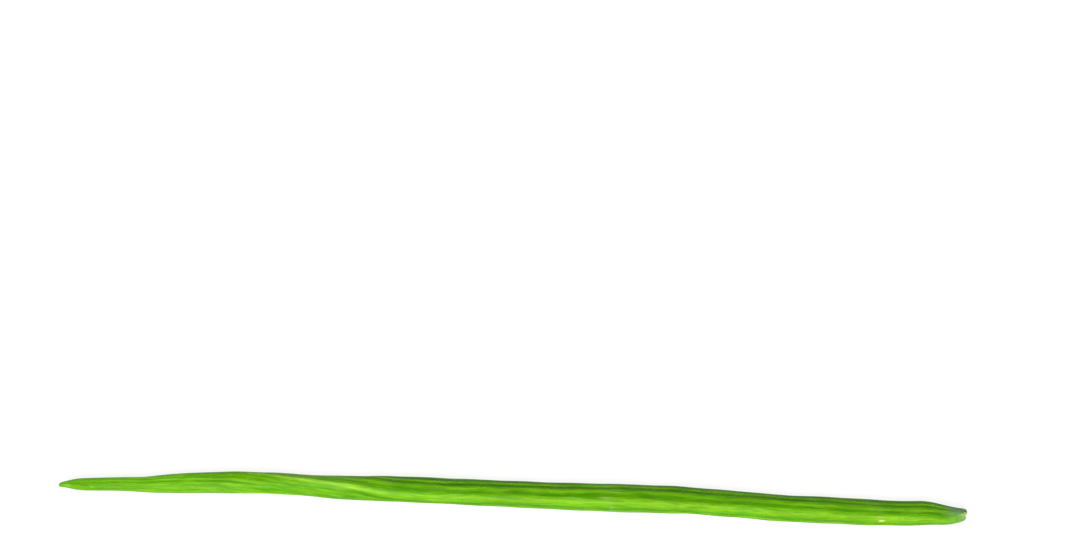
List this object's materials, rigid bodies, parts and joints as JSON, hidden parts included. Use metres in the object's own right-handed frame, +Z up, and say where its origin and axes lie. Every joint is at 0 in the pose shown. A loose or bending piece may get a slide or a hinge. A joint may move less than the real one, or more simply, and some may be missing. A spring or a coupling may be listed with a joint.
{
  "type": "moringa pod",
  "caption": "Long slender ribbed green seed pod, three-sided with a tapered beak, a slight twist and a cut stalk end, lying on its side.",
  "frame": {"origin": "centre of the pod's bounding box, on the surface that it lies on", "axes": "+X along the pod from the beak to the cut stalk end, +Y across the pod to the side that it bends to, +Z up from the surface"},
  "size_m": [0.5, 0.019, 0.0159],
  "materials": {
    "pod_skin": "fresh green plant skin: waxy and softly glossy, yellow-green along the ribs, darker green in the grooves, fine lengthwise fibres",
    "cut_stalk": "fresh scar where the stalk came off: moist pale lime green, fibrous, with a brownish rim"
  },
  "bodies": {
    "root": {"pod": "pod_skin"}
  },
  "joints": []
}
